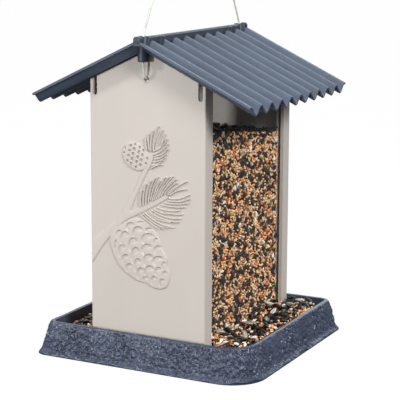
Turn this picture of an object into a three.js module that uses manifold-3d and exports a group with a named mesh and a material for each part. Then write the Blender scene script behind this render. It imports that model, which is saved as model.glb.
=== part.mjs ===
// Hanging hopper feeder for wild birds: tray, two end panels, two windows, lift-up roof and cable.
// Millimetres, +Z up, +X across the ridge, +Y along the ridge. Heights in the drawing are above the
// foot of the tray; the whole feeder hangs from its cable loop, whose inner top is the origin.

import * as THREE from 'three';
import * as BufferGeometryUtils from 'three/addons/utils/BufferGeometryUtils.js';
import Module from 'manifold-3d';

const wasm = await Module();
wasm.setup();

// ---------------------------------------------------------------- driving dimensions

const GAP = 0.3; // clearance between pieces that rest on each other

const TRAY = {
  height: 31.6,
  floorTop: 9,
  floorThickness: 2.4,
  footHalfX: 116,
  footHalfY: 115,
  skirt: 2.6,
  cornerSteps: 6,
  drainRadius: 2.2,
};

const PANEL = {
  halfWidth: 60.6,
  outerFace: 95.1, // distance of the decorated face from the middle of the feeder
  wall: 2.5,
  returnDepth: 14.8,
  edgeRound: 0.8,
  footHeight: 12,
  screwX: 40,
  screwInset: 9,
  bossRadius: 4.2,
  pilotRadius: 1.1,
};

const WINDOW = {
  middleX: 55.4,
  thickness: 2,
  bottom: 30,
  earBottom: 254.95,
  top: 263,
};

// The raised ring that the mould's gate leaves on the inner face of a panel.
const GATE = { x: -16, z: 210, radius: 9, height: 0.4 };

const SLOT = { halfWidth: 2.4, bottomCentre: 256.8 };

const ROOF = {
  halfX: 113.4,
  halfY: 113.7,
  pitch: Math.tan(THREE.MathUtils.degToRad(25.35)),
  crestHeight: 308.4, // height at which the two crest planes would meet
  periods: 10,
  waveDepth: 7.7,
  thickness: 2.2,
  stepsPerWave: 12,
};

const SPINE = { halfWidth: 2.9, top: 311, bottom: 298.2, wall: 1.6, capHalfWidth: 3.5, capThickness: 3 };

const TUBE = { y: 101, radius: 5.3, bore: 2.6, bottom: 288.3 };

const BOSS = { y: 71.5, radius: 5.3, bore: 2.4, bottom: 290 };

const CABLE = {
  radius: 1,
  sides: 8,
  holeHeight: 271.7,
  holeRadius: 2.4,
  split: 306, // height inside the roof tube where tail and strand meet
  ferruleBottom: 436,
  ferruleHeight: 9,
};

const LOOP = { halfWidth: 8, height: 22 };

const HANG_HEIGHT = CABLE.ferruleBottom + CABLE.ferruleHeight + LOOP.height - 2 * CABLE.radius;

const SCREW = { radius: 1.5, headRadius: 3.4, headHeight: 2, length: 11, holeRadius: 2.1 };

const DEFLECTOR = { halfWidth: 24, height: 15, sheet: 1.6, footWidth: 5 };

// ---------------------------------------------------------------- materials

const plastic = (color, roughness) => new THREE.MeshStandardMaterial({ color, roughness, metalness: 0 });

const roofBlue = plastic(0x5d6879, 0.5);
const trayBlue = plastic(0x464f62, 0.6);
const panelTaupe = plastic(0xcbc3bc, 0.55);
const clearSheet = new THREE.MeshStandardMaterial({
  color: 0xe8eef0,
  roughness: 0.05,
  metalness: 0,
  transparent: true,
  opacity: 0.35,
});
const coatedCable = plastic(0xd4d9d0, 0.35);
const steel = new THREE.MeshStandardMaterial({ color: 0xb9bcbf, roughness: 0.35, metalness: 1 });

// ---------------------------------------------------------------- solids

function toManifold(geometry) {
  const bare = geometry.clone();
  bare.deleteAttribute('normal');
  bare.deleteAttribute('uv');
  const merged = BufferGeometryUtils.mergeVertices(bare, 1e-4);
  const mesh = new wasm.Mesh({
    numProp: 3,
    vertProperties: new Float32Array(merged.attributes.position.array),
    triVerts: new Uint32Array(merged.index.array),
  });
  return new wasm.Manifold(mesh);
}

function toGeometry(solid) {
  const mesh = solid.getMesh();
  const geometry = new THREE.BufferGeometry();
  geometry.setAttribute('position', new THREE.BufferAttribute(new Float32Array(mesh.vertProperties), 3));
  geometry.setIndex(new THREE.BufferAttribute(new Uint32Array(mesh.triVerts), 1));
  geometry.computeVertexNormals();
  return geometry;
}

function unite(geometries) {
  return geometries.map(toManifold).reduce((all, next) => all.add(next));
}

function shapeOf(points) {
  return new THREE.Shape(points.map(([u, v]) => new THREE.Vector2(u, v)));
}

// Outline in X and Y, raised from z0 to z1.
function prismZ(shape, z0, z1) {
  const geometry = new THREE.ExtrudeGeometry(shape, { depth: z1 - z0, bevelEnabled: false, curveSegments: 6 });
  return geometry.translate(0, 0, z0);
}

// Outline in X and Z, drawn along Y from y0 to y1.
function prismY(shape, y0, y1) {
  const geometry = new THREE.ExtrudeGeometry(shape, { depth: y1 - y0, bevelEnabled: false, curveSegments: 6 });
  return geometry.rotateX(Math.PI / 2).translate(0, y1, 0);
}

// Outline in Y and Z, drawn along X from x0 to x1.
function prismX(shape, x0, x1) {
  const geometry = new THREE.ExtrudeGeometry(shape, { depth: x1 - x0, bevelEnabled: false, curveSegments: 6 });
  return geometry.rotateX(Math.PI / 2).rotateZ(Math.PI / 2).translate(x0, 0, 0);
}

function box(x0, x1, y0, y1, z0, z1) {
  const geometry = new THREE.BoxGeometry(x1 - x0, y1 - y0, z1 - z0);
  return geometry.translate((x0 + x1) / 2, (y0 + y1) / 2, (z0 + z1) / 2);
}

function post(x, y, radius, z0, z1, sides = 16) {
  const geometry = new THREE.CylinderGeometry(radius, radius, z1 - z0, sides);
  return geometry.rotateX(Math.PI / 2).translate(x, y, (z0 + z1) / 2);
}

// A round bar along Y.
function bar(x, z, radius, y0, y1, sides = 16) {
  const geometry = new THREE.CylinderGeometry(radius, radius, y1 - y0, sides);
  return geometry.translate(x, (y0 + y1) / 2, z);
}

// A cable of one diameter along a smooth curve through its points.
function cableAlong(points, closed = false, steps = 40) {
  const curve = new THREE.CatmullRomCurve3(
    points.map(([x, y, z]) => new THREE.Vector3(x, y, z)),
    closed,
    'centripetal',
  );
  const section = new THREE.Shape();
  for (let i = 0; i < CABLE.sides; i += 1) {
    const angle = (2 * Math.PI * i) / CABLE.sides;
    const u = CABLE.radius * Math.cos(angle);
    const v = CABLE.radius * Math.sin(angle);
    if (i === 0) section.moveTo(u, v);
    else section.lineTo(u, v);
  }
  return new THREE.ExtrudeGeometry(section, { steps, extrudePath: curve, bevelEnabled: false });
}

// ---------------------------------------------------------------- tray

// A corner-rounded rectangular ring of points at one height. Two opposite corners are full and round,
// the other two are tight.
function roundedRing(halfX, halfY, fullRadius, tightRadius, z) {
  const ring = [];
  for (let corner = 0; corner < 4; corner += 1) {
    const radius = corner % 2 === 1 ? fullRadius : tightRadius;
    const signX = corner === 0 || corner === 3 ? 1 : -1;
    const signY = corner < 2 ? 1 : -1;
    for (let i = 0; i <= TRAY.cornerSteps; i += 1) {
      const angle = (Math.PI / 2) * (corner + i / TRAY.cornerSteps);
      ring.push([
        signX * (halfX - radius) + radius * Math.cos(angle),
        signY * (halfY - radius) + radius * Math.sin(angle),
        z,
      ]);
    }
  }
  return ring;
}

// Skins a row of rings into one closed body, with a flat cap on the first and the last.
function loftRings(rings) {
  const positions = rings.flat(2);
  const count = rings[0].length;
  const index = [];
  for (let r = 0; r + 1 < rings.length; r += 1) {
    for (let i = 0; i < count; i += 1) {
      const a = r * count + i;
      const b = r * count + ((i + 1) % count);
      index.push(a, b, b + count, a, b + count, a + count);
    }
  }
  for (let i = 1; i + 1 < count; i += 1) {
    const last = (rings.length - 1) * count;
    index.push(0, i + 1, i);
    index.push(last, last + i, last + i + 1);
  }
  const geometry = new THREE.BufferGeometry();
  geometry.setAttribute('position', new THREE.Float32BufferAttribute(positions, 3));
  geometry.setIndex(index);
  return geometry;
}

function buildTray() {
  const { footHalfX: hx, footHalfY: hy, height, floorTop, floorThickness, skirt } = TRAY;
  // inset from the foot, full and tight corner radius, height: up the skirt, over the rim, to the floor
  const outside = [
    [0, 35, 12, 0],
    [0.8, 34.5, 11.6, 1.6],
    [3.8, 32, 10.6, 5.4],
    [5.4, 30.5, 10, 12.5],
    [7, 29.5, 9.6, 20],
    [9.2, 28, 9.2, 28.6],
    [10.6, 27, 8.6, height - 0.8],
    [11.6, 26, 7.8, height],
    [14, 23.6, 6, height],
    [14.4, 23.2, 5.8, height - 3],
    [16.4, 21.4, 5, floorTop + 1.5],
    [17.6, 20, 4.5, floorTop],
  ];
  const underside = [
    [18.6, 19, 4, floorTop - floorThickness],
    [14.8, 22.4, 5, floorTop - floorThickness + 0.6],
    [12.9, 24.6, 6.4, 25],
    [11.4, 26, 7.8, 25],
    [5.4 + skirt + 0.6, 28, 8, 12.5],
    [3.8 + skirt + 0.6, 30, 9, 5.4],
    [skirt, 32.8, 10, 0],
  ];
  const rings = [...underside, ...outside].map(([inset, full, tight, z]) => {
    return roundedRing(hx - inset, hy - inset, full, tight, z);
  });
  const tools = [];
  for (const x of [-PANEL.screwX, PANEL.screwX]) {
    for (const y of [-screwY, screwY]) {
      tools.push(post(x, y, SCREW.holeRadius, 0, floorTop + 1, 12));
    }
  }
  for (const x of [-84, -42, 42, 84]) {
    for (const y of [-36, 36]) {
      tools.push(post(x, y, TRAY.drainRadius, 0, floorTop + 1, 12));
    }
  }
  return toManifold(loftRings(rings)).subtract(unite(tools));
}

// ---------------------------------------------------------------- seed deflector

function buildDeflector() {
  const { halfWidth, height, sheet, footWidth } = DEFLECTOR;
  const halfLength = PANEL.outerFace - PANEL.wall - PANEL.returnDepth - 2.7;
  const base = TRAY.floorTop + GAP;
  const slope = Math.atan2(height, halfWidth);
  const rise = sheet / Math.cos(slope);
  const outline = shapeOf([
    [-halfWidth - footWidth, base],
    [-halfWidth + sheet, base],
    [0, base + height - rise + sheet],
    [halfWidth - sheet, base],
    [halfWidth + footWidth, base],
    [halfWidth + footWidth, base + sheet],
    [halfWidth, base + sheet],
    [0, base + height + sheet],
    [-halfWidth, base + sheet],
    [-halfWidth - footWidth, base + sheet],
  ]);
  return toManifold(prismY(outline, -halfLength, halfLength));
}

// ---------------------------------------------------------------- end panels

const screwY = PANEL.outerFace - PANEL.screwInset;

// The panel's plan section: face, side returns and the two ribs of each window groove.
function panelSection() {
  const { halfWidth, outerFace, wall, returnDepth, edgeRound } = PANEL;
  const inner = -outerFace + wall;
  const grooveOut = WINDOW.middleX + WINDOW.thickness / 2 + 0.7;
  const grooveIn = WINDOW.middleX - WINDOW.thickness / 2 - 0.7;
  const half = [
    [halfWidth - edgeRound, -outerFace],
    [halfWidth, -outerFace + edgeRound],
    [halfWidth, -outerFace + returnDepth],
    [grooveOut, -outerFace + returnDepth],
    [grooveOut, inner],
    [grooveIn, inner],
    [grooveIn, inner + 10],
    [grooveIn - 2, inner + 10],
    [grooveIn - 2, inner],
  ];
  const mirrored = half.map(([x, y]) => [-x, y]).reverse();
  return shapeOf([...half, ...mirrored]);
}

// A pine sprig in low relief, as x and z on the face: a forked branch, two cones and two fans of needles.
const BRANCH = [
  [-62, 92],
  [-36, 124.5],
  [-20, 139],
  [0, 149.5],
  [22, 162.5],
  [23, 165.5],
  [0, 156],
  [-16, 149],
  [-7, 170],
  [5.5, 194],
  [7.5, 203],
  [4.5, 204.5],
  [-4, 187],
  [-12, 170],
  [-20, 157],
  [-30, 141],
  [-40, 131],
  [-62, 110.5],
];

const BIG_CONE = [
  [-15, 140.5],
  [-26, 134.5],
  [-38, 124.5],
  [-40, 118],
  [-36, 104.5],
  [-30, 94],
  [-20, 86.5],
  [-8, 80.8],
  [1, 79.5],
  [8, 76.2],
  [16, 76.2],
  [22.5, 80.5],
  [24.3, 90],
  [22, 101],
  [20, 109.5],
  [16, 116],
  [11, 127.5],
  [4, 136],
  [-5, 140.8],
];

const SMALL_CONE = [
  [-13, 213.4],
  [-19, 212.6],
  [-24, 207.5],
  [-25.2, 201],
  [-23, 194],
  [-17, 189],
  [-9, 186],
  [-3, 187.5],
  [2, 194],
  [3.5, 203],
  [-4, 210],
];

const NEEDLES = [
  [1, 207, -1, 217.5],
  [3.4, 207, 3.2, 221.5],
  [5.4, 207, 7.6, 225],
  [8, 209, 13.6, 229],
  [10, 210, 17, 225.5],
  [7.5, 204.5, 20, 222.5],
  [8, 202.5, 22.6, 213.5],
  [8, 199.5, 22.6, 208.6],
  [7, 196, 20.6, 203.4],
  [6, 191, 16, 194.4],
  [-6.4, 154, -1, 173.5],
  [-1, 156, 5, 177.5],
  [4, 158, 9.4, 180.4],
  [8, 160, 20, 182.6],
  [13, 162, 28, 183.8],
  [18, 165, 31.4, 181],
  [23, 166, 42, 180.4],
  [24, 163.5, 44.4, 168],
  [19, 160, 43, 160.4],
  [13, 155.5, 34, 152.6],
  [8, 152, 37.6, 149.4],
  [3, 149.5, 33.6, 142.2],
  [-1, 147, 28, 136.4],
  [-5, 146, 17, 134.6],
];

function reliefStrip(x0, z0, x1, z1, width) {
  const length = Math.hypot(x1 - x0, z1 - z0);
  const strip = new THREE.BoxGeometry(length, 1.6, width);
  strip.rotateY(-Math.atan2(z1 - z0, x1 - x0));
  return strip.translate((x0 + x1) / 2, -PANEL.outerFace, (z0 + z1) / 2);
}

function buildRelief() {
  const raised = [BRANCH, BIG_CONE, SMALL_CONE].map((outline) => {
    return prismY(shapeOf(outline), -PANEL.outerFace - 0.8, -PANEL.outerFace + 0.8);
  });
  return unite([...raised, ...NEEDLES.map(([x0, z0, x1, z1]) => reliefStrip(x0, z0, x1, z1, 1.6))]);
}

function gableShape() {
  const { halfWidth } = PANEL;
  const underRoof = ROOF.crestHeight - ROOF.waveDepth - ROOF.thickness - 2 * GAP;
  const cornerHeight = underRoof - ROOF.pitch * halfWidth;
  const foot = TRAY.floorTop + GAP;
  return shapeOf([
    [-halfWidth, foot],
    [halfWidth, foot],
    [halfWidth, cornerHeight],
    [0, underRoof],
    [-halfWidth, cornerHeight],
  ]);
}

// The panel at the -Y end; the one at the other end is the same moulding turned half round.
function buildPanel() {
  const { halfWidth, outerFace, wall, returnDepth, footHeight } = PANEL;
  const foot = TRAY.floorTop + GAP;
  const shell = toManifold(prismZ(panelSection(), foot, ROOF.crestHeight));
  const gable = toManifold(prismY(gableShape(), -outerFace - 1, -outerFace + returnDepth + 2));
  const ledge = box(-50, 50, -outerFace + wall - 0.5, -outerFace + wall + 11, foot, foot + wall);
  const bosses = [-PANEL.screwX, PANEL.screwX].map((x) => {
    return post(x, -screwY, PANEL.bossRadius, foot, foot + footHeight, 14);
  });
  const gateMark = bar(GATE.x, GATE.z, GATE.radius, -outerFace + wall - 0.5, -outerFace + wall + GATE.height, 24);
  const gateHollow = bar(GATE.x, GATE.z, GATE.radius - 1, -outerFace + wall, -outerFace + wall + 1, 24);
  const pilots = [-PANEL.screwX, PANEL.screwX].map((x) => {
    return post(x, -screwY, PANEL.pilotRadius + 0.7, foot - 1, foot + footHeight + 1, 10);
  });
  const slots = [-WINDOW.middleX, WINDOW.middleX].flatMap((x) => [
    bar(x, SLOT.bottomCentre, SLOT.halfWidth, -outerFace - 2, -outerFace + wall + 0.2, 16),
    box(
      x - SLOT.halfWidth,
      x + SLOT.halfWidth,
      -outerFace - 2,
      -outerFace + wall + 0.2,
      SLOT.bottomCentre,
      ROOF.crestHeight,
    ),
  ]);
  const hole = bar(0, CABLE.holeHeight, CABLE.holeRadius, -outerFace - 2, -outerFace + wall + 1, 20);
  const holeLip = bar(0, CABLE.holeHeight, CABLE.holeRadius + 1.1, -outerFace - 0.4, -outerFace + 1, 20);
  return shell
    .intersect(gable)
    .add(unite([ledge, ...bosses, gateMark, holeLip]))
    .add(buildRelief().intersect(toManifold(box(-halfWidth, halfWidth, -outerFace - 2, -outerFace + 1, 60, 250))))
    .subtract(unite([...pilots, ...slots, hole, gateHollow]));
}

// ---------------------------------------------------------------- windows

function buildWindow(side) {
  const { middleX, thickness, bottom, earBottom, top } = WINDOW;
  const pane = PANEL.outerFace - PANEL.wall - GAP;
  const ear = PANEL.outerFace - 0.4;
  const outline = shapeOf([
    [-pane + 1.5, bottom],
    [pane - 1.5, bottom],
    [pane, bottom + 1.5],
    [pane, earBottom],
    [ear, earBottom],
    [ear, top - 1.5],
    [ear - 1.5, top],
    [-ear + 1.5, top],
    [-ear, top - 1.5],
    [-ear, earBottom],
    [-pane, earBottom],
    [-pane, bottom + 1.5],
  ]);
  const x = side * middleX;
  return prismX(outline, x - thickness / 2, x + thickness / 2);
}

// ---------------------------------------------------------------- roof

// The corrugated double slope: waves run along Y, every crest and trough falls straight to the eaves.
function corrugatedSheet() {
  const { halfX, halfY, pitch, crestHeight, periods, waveDepth, thickness, stepsPerWave } = ROOF;
  const columns = [-halfX, 0, halfX];
  const rows = periods * stepsPerWave;
  const positions = [];
  for (const below of [0, thickness]) {
    for (let j = 0; j <= rows; j += 1) {
      const wave = (waveDepth / 2) * (Math.cos((2 * Math.PI * j) / stepsPerWave) - 1);
      for (const x of columns) {
        const y = -halfY + (2 * halfY * j) / rows;
        positions.push(x, y, crestHeight - pitch * Math.abs(x) + wave - below);
      }
    }
  }
  const layer = (rows + 1) * columns.length;
  const at = (row, column, under) => under * layer + row * columns.length + column;
  const index = [];
  const quad = (a, b, c, d) => index.push(a, b, c, a, c, d);
  for (let j = 0; j < rows; j += 1) {
    for (let i = 0; i < 2; i += 1) {
      quad(at(j, i, 0), at(j, i + 1, 0), at(j + 1, i + 1, 0), at(j + 1, i, 0));
      quad(at(j, i, 1), at(j + 1, i, 1), at(j + 1, i + 1, 1), at(j, i + 1, 1));
    }
    quad(at(j, 0, 0), at(j + 1, 0, 0), at(j + 1, 0, 1), at(j, 0, 1));
    quad(at(j, 2, 0), at(j, 2, 1), at(j + 1, 2, 1), at(j + 1, 2, 0));
  }
  for (let i = 0; i < 2; i += 1) {
    quad(at(0, i, 0), at(0, i, 1), at(0, i + 1, 1), at(0, i + 1, 0));
    quad(at(rows, i, 0), at(rows, i + 1, 0), at(rows, i + 1, 1), at(rows, i, 1));
  }
  const geometry = new THREE.BufferGeometry();
  geometry.setAttribute('position', new THREE.Float32BufferAttribute(positions, 3));
  geometry.setIndex(index);
  return geometry;
}

function spineOutline(halfWidth, bottom, top, chamfer) {
  return shapeOf([
    [-halfWidth, bottom],
    [halfWidth, bottom],
    [halfWidth, top - chamfer],
    [halfWidth - chamfer, top],
    [-halfWidth + chamfer, top],
    [-halfWidth, top - chamfer],
  ]);
}

function buildRoof() {
  const { halfY } = ROOF;
  const spine = prismY(spineOutline(SPINE.halfWidth, SPINE.bottom, SPINE.top, 1.4), -halfY, halfY);
  const channel = box(
    -SPINE.halfWidth + SPINE.wall,
    SPINE.halfWidth - SPINE.wall,
    -halfY + SPINE.capThickness,
    halfY - SPINE.capThickness,
    SPINE.bottom - 20,
    SPINE.top - SPINE.wall,
  );
  const added = [];
  const bored = [];
  for (const end of [-1, 1]) {
    const outer = end * halfY;
    const inner = end * (halfY - SPINE.capThickness);
    const cap = spineOutline(SPINE.capHalfWidth, SPINE.bottom, SPINE.top + 0.8, 1.6);
    added.push(prismY(cap, Math.min(outer, inner), Math.max(outer, inner)));
    added.push(post(0, end * TUBE.y, TUBE.radius, TUBE.bottom, SPINE.top - 0.5, 24));
    added.push(post(0, end * BOSS.y, BOSS.radius, BOSS.bottom, SPINE.top - 0.5, 24));
    bored.push(post(0, end * TUBE.y, TUBE.bore, TUBE.bottom - 1, SPINE.top + 2, 16));
    bored.push(post(0, end * BOSS.y, BOSS.bore, BOSS.bottom - 1, SPINE.top - SPINE.wall, 12));
  }
  return unite([corrugatedSheet(), spine])
    .subtract(toManifold(channel))
    .add(unite(added))
    .subtract(unite(bored));
}

// ---------------------------------------------------------------- cable

// Each list below is the route of one stretch for the front end; the rear end mirrors it in Y.
const TAIL_ROUTE = [
  [0, -86.5, CABLE.holeHeight - 0.6],
  [0, -90.5, CABLE.holeHeight - 0.3],
  [0, -93.6, CABLE.holeHeight + 0.2],
  [0, -96.4, CABLE.holeHeight + 1.6],
  [0, -98.8, CABLE.holeHeight + 4.4],
  [0, -100.6, CABLE.holeHeight + 8.6],
  [0, -101.3, CABLE.holeHeight + 13.2],
  [0, -101.2, CABLE.holeHeight + 18],
  [0, -101, CABLE.holeHeight + 24],
  [0, -101, CABLE.holeHeight + 29],
  [0, -101, CABLE.split - GAP / 2],
];

const STRAND_ROUTE = [
  [0, -101, CABLE.split + GAP / 2],
  [0, -100.9, 309],
  [0, -100.1, 312.4],
  [0, -98.6, 315.9],
  [0, -90, 331.9],
  [0, -82, 346.3],
  [0, -72, 362],
  [0, -59.7, 378],
  [0, -47.1, 392],
  [0, -35, 404],
  [0, -24, 414],
  [0, -14.6, 422],
  [0, -8.4, 427],
  [0, -4.1, 430.7],
  [0, -2.2, 433.2],
  [0, -1.6, CABLE.ferruleBottom - GAP],
];

function loopRoute() {
  const base = CABLE.ferruleBottom + CABLE.ferruleHeight + GAP;
  const crown = HANG_HEIGHT + CABLE.radius;
  const reach = crown - base;
  return [
    [0, -1.6, base],
    [0, -2.2, base + 0.1 * reach],
    [0, -5.2, base + 0.32 * reach],
    [0, -LOOP.halfWidth, base + 0.6 * reach],
    [0, -0.72 * LOOP.halfWidth, base + 0.88 * reach],
    [0, 0, crown],
    [0, 0.72 * LOOP.halfWidth, base + 0.88 * reach],
    [0, LOOP.halfWidth, base + 0.6 * reach],
    [0, 5.2, base + 0.32 * reach],
    [0, 2.2, base + 0.1 * reach],
    [0, 1.6, base],
  ];
}

function mirrorY(route) {
  return route.map(([x, y, z]) => [x, -y, z]);
}

function buildFerrule() {
  const bottom = CABLE.ferruleBottom;
  const top = bottom + CABLE.ferruleHeight;
  const points = [];
  for (let i = 0; i < 20; i += 1) {
    const angle = (2 * Math.PI * i) / 20;
    points.push([2.2 * Math.cos(angle), 3.4 * Math.sin(angle)]);
  }
  return prismZ(shapeOf(points), bottom, top);
}

// A crimped sleeve behind the panel, too wide for the cable hole.
function buildStop(end) {
  const near = PANEL.outerFace - PANEL.wall - 6.5;
  const profile = [
    new THREE.Vector2(0, 0),
    new THREE.Vector2(2.6, 0),
    new THREE.Vector2(3.2, 0.8),
    new THREE.Vector2(3.2, 7.2),
    new THREE.Vector2(2.6, 8),
    new THREE.Vector2(0, 8),
  ];
  const sleeve = new THREE.LatheGeometry(profile, 16);
  return sleeve.translate(0, end > 0 ? near - 8 : -near, CABLE.holeHeight - 0.6);
}

// ---------------------------------------------------------------- fasteners

function buildScrew() {
  const head = TRAY.floorTop - TRAY.floorThickness - GAP;
  const profile = [
    new THREE.Vector2(0, head - SCREW.headHeight),
    new THREE.Vector2(SCREW.headRadius * 0.75, head - SCREW.headHeight),
    new THREE.Vector2(SCREW.headRadius, head - SCREW.headHeight * 0.5),
    new THREE.Vector2(SCREW.headRadius, head),
    new THREE.Vector2(SCREW.radius, head),
    new THREE.Vector2(SCREW.radius, head + SCREW.length - 1.5),
    new THREE.Vector2(0, head + SCREW.length),
  ];
  return new THREE.LatheGeometry(profile, 14).rotateX(Math.PI / 2);
}

// ---------------------------------------------------------------- assembly

const feeder = new THREE.Group();
feeder.position.z = -HANG_HEIGHT;

function addNode(parent, name, geometry, material) {
  const node = new THREE.Mesh(geometry, material);
  node.name = name;
  parent.add(node);
  return node;
}

addNode(feeder, 'base_tray', toGeometry(buildTray()), trayBlue);
addNode(feeder, 'seed_deflector', toGeometry(buildDeflector()), trayBlue);

const panelGeometry = toGeometry(buildPanel());
addNode(feeder, 'end_panel_front', panelGeometry, panelTaupe);
addNode(feeder, 'end_panel_rear', panelGeometry, panelTaupe).rotation.z = Math.PI;

addNode(feeder, 'window_left', buildWindow(-1), clearSheet);
addNode(feeder, 'window_right', buildWindow(1), clearSheet);

addNode(feeder, 'roof', toGeometry(buildRoof()), roofBlue);

addNode(feeder, 'cable_loop', cableAlong(loopRoute(), false, 36), coatedCable);
addNode(feeder, 'cable_strand_front', cableAlong(STRAND_ROUTE), coatedCable);
addNode(feeder, 'cable_strand_rear', cableAlong(mirrorY(STRAND_ROUTE)), coatedCable);
addNode(feeder, 'cable_tail_front', cableAlong(TAIL_ROUTE, false, 24), coatedCable);
addNode(feeder, 'cable_tail_rear', cableAlong(mirrorY(TAIL_ROUTE), false, 24), coatedCable);

addNode(feeder, 'cable_ferrule', buildFerrule(), steel);
addNode(feeder, 'cable_stop_front', buildStop(-1), steel);
addNode(feeder, 'cable_stop_rear', buildStop(1), steel);

let screwNumber = 1;
for (const x of [-PANEL.screwX, PANEL.screwX]) {
  for (const y of [-screwY, screwY]) {
    const screw = addNode(feeder, `panel_screw_${screwNumber}`, buildScrew(), steel);
    screw.position.set(x, y, 0);
    screwNumber += 1;
  }
}

const part = new THREE.Group();
part.add(feeder);

export default part;
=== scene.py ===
"""Looks of a hanging hopper feeder for wild birds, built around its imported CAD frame.

Drawing sizes are millimetres above the foot of the tray; in_frame() turns them into the row frame.
"""

import math

import bmesh
import bpy
import numpy as np
from mathutils import Matrix, Vector


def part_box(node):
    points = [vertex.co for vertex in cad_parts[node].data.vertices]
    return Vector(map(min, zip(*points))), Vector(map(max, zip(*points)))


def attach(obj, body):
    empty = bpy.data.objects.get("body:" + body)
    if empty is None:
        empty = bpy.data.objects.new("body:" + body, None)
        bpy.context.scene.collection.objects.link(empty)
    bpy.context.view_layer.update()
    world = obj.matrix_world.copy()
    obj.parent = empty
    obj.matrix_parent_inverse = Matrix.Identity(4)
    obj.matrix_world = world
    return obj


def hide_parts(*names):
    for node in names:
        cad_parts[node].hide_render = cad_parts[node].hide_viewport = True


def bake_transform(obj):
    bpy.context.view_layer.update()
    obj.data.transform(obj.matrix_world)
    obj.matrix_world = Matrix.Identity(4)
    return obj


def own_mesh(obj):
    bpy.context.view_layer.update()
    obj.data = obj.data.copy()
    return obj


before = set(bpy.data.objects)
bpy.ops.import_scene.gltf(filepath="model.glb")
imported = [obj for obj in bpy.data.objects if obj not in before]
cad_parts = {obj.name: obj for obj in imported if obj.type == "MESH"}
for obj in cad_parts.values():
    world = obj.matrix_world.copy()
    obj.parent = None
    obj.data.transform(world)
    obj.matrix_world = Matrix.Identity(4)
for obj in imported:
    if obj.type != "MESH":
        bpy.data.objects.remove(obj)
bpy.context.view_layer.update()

MM = 0.001
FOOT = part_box("base_tray")[0][2]
TO_FRAME = Matrix.Translation((0, 0, FOOT)) @ Matrix.Scale(MM, 4)

# ---- driving sizes, from the frame


def box_mm(node):
    """A CAD node's corners in drawing millimetres."""
    low, high = (np.array(corner, float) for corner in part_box(node))
    return (low - (0, 0, FOOT)) / MM, (high - (0, 0, FOOT)) / MM


TRAY_HIGH = box_mm("base_tray")[1]
PANEL_LOW, PANEL_HIGH = box_mm("end_panel_front")
ROOF_HIGH = box_mm("roof")[1]
WINDOW_LOW = box_mm("window_right")[0]

TRAY_FLOOR = 9.0
FACE = 95.1  # distance of a panel's outer face from the middle
WALL = 2.5
INNER_FACE = FACE - WALL
HALF_PANEL = PANEL_HIGH[0]
RETURN_DEPTH = 14.8
PITCH = math.tan(math.radians(25.35))
CREST = 308.4
SHEET = 2.2
WAVE_DEPTH = 7.7
WAVES = 10
SPINE_HALF = 2.9
SPINE_TOP = 311.0
SPINE_FOOT = 303.4
SPINE_WALL = 1.6
TUBE_Y = 101.0
BOSS_Y = 71.5
TUBE_RADIUS = 5.3
TUBE_BOTTOM = 288.3
BORE_RADIUS = 4.6
HOLE_HEIGHT = 271.7
SLOT_X = 55.4
SLOT_HALF = 2.4
SLOT_BOTTOM = 256.8
SCREW_X = 40.0
SCREW_Y = FACE - 9
CABLE_RADIUS = 1.0
FERRULE_BOTTOM = 436.0
FERRULE_TOP = 445.0
HANG_HEIGHT = -FOOT / MM

# ---- mesh helpers


def in_frame(points):
    """Drawing millimetres to metres in the row frame."""
    return np.asarray(points, float) * MM + (0, 0, FOOT)


def add_object(name, mesh, material):
    piece = bpy.data.objects.new(name, mesh)
    bpy.context.collection.objects.link(piece)
    mesh.materials.append(material)
    return piece


def add_piece(name, mesh, look, body, node=None):
    """A piece that rides on a body, in its look's material; it may stand for a CAD node, which it hides."""
    piece = add_object(name, mesh, MATERIALS[look])
    if body:
        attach(piece, body)
    if node:
        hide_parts(node)
    return piece


def shade(mesh, angle=35):
    mesh.polygons.foreach_set("use_smooth", np.ones(len(mesh.polygons), bool))
    mesh.set_sharp_from_angle(angle=math.radians(angle))


def grid_mesh(name, points, faces):
    """A mesh from an array of points in drawing millimetres and an array of equal-sized faces."""
    count, corners = faces.shape
    mesh = bpy.data.meshes.new(name)
    mesh.vertices.add(len(points))
    mesh.vertices.foreach_set("co", in_frame(points).ravel())
    mesh.loops.add(count * corners)
    mesh.loops.foreach_set("vertex_index", faces.astype(np.int32).ravel())
    mesh.polygons.add(count)
    mesh.polygons.foreach_set("loop_start", np.arange(0, count * corners, corners, dtype=np.int32))
    mesh.update(calc_edges=True)
    mesh.validate()
    return mesh


def quads(rows, columns, wrap=False):
    """Faces of a grid of points, row by row; wrap joins each row's last point to its first."""
    last = columns if wrap else columns - 1
    r, c = np.meshgrid(np.arange(rows - 1), np.arange(last), indexing="ij")
    near, far = r * columns + c, r * columns + (c + 1) % columns
    return np.stack([corner.ravel() for corner in (near, far, far + columns, near + columns)], 1)


def from_bmesh(name, build):
    """A mesh from a bmesh in drawing millimetres."""
    mesh = bpy.data.meshes.new(name)
    build.to_mesh(mesh)
    build.free()
    mesh.transform(TO_FRAME)
    return mesh


def joined(name, meshes, outward=False):
    """Several meshes as one; outward turns all its faces outward."""
    build = bmesh.new()
    for part in meshes:
        build.from_mesh(part)
    if outward:
        bmesh.ops.recalc_face_normals(build, faces=build.faces)
    mesh = bpy.data.meshes.new(name)
    build.to_mesh(mesh)
    build.free()
    return mesh


def block(low_u, high_u, low_v, high_v):
    """The outline of a rectangle."""
    return [(low_u, low_v), (high_u, low_v), (high_u, high_v), (low_u, high_v)]


def mirrored(half):
    """A closed outline from its right half."""
    return [*half, *[(-u, v) for u, v in reversed(half)]]


def turned(u, v, angle):
    """u and v turned about the origin."""
    return u * math.cos(angle) - v * math.sin(angle), u * math.sin(angle) + v * math.cos(angle)


def place(u, v, w, axis):
    """Plan and height as a point: (x, y) and z, or (x, z) and y."""
    return (u, v, w) if axis == "z" else (u, w, v)


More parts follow.
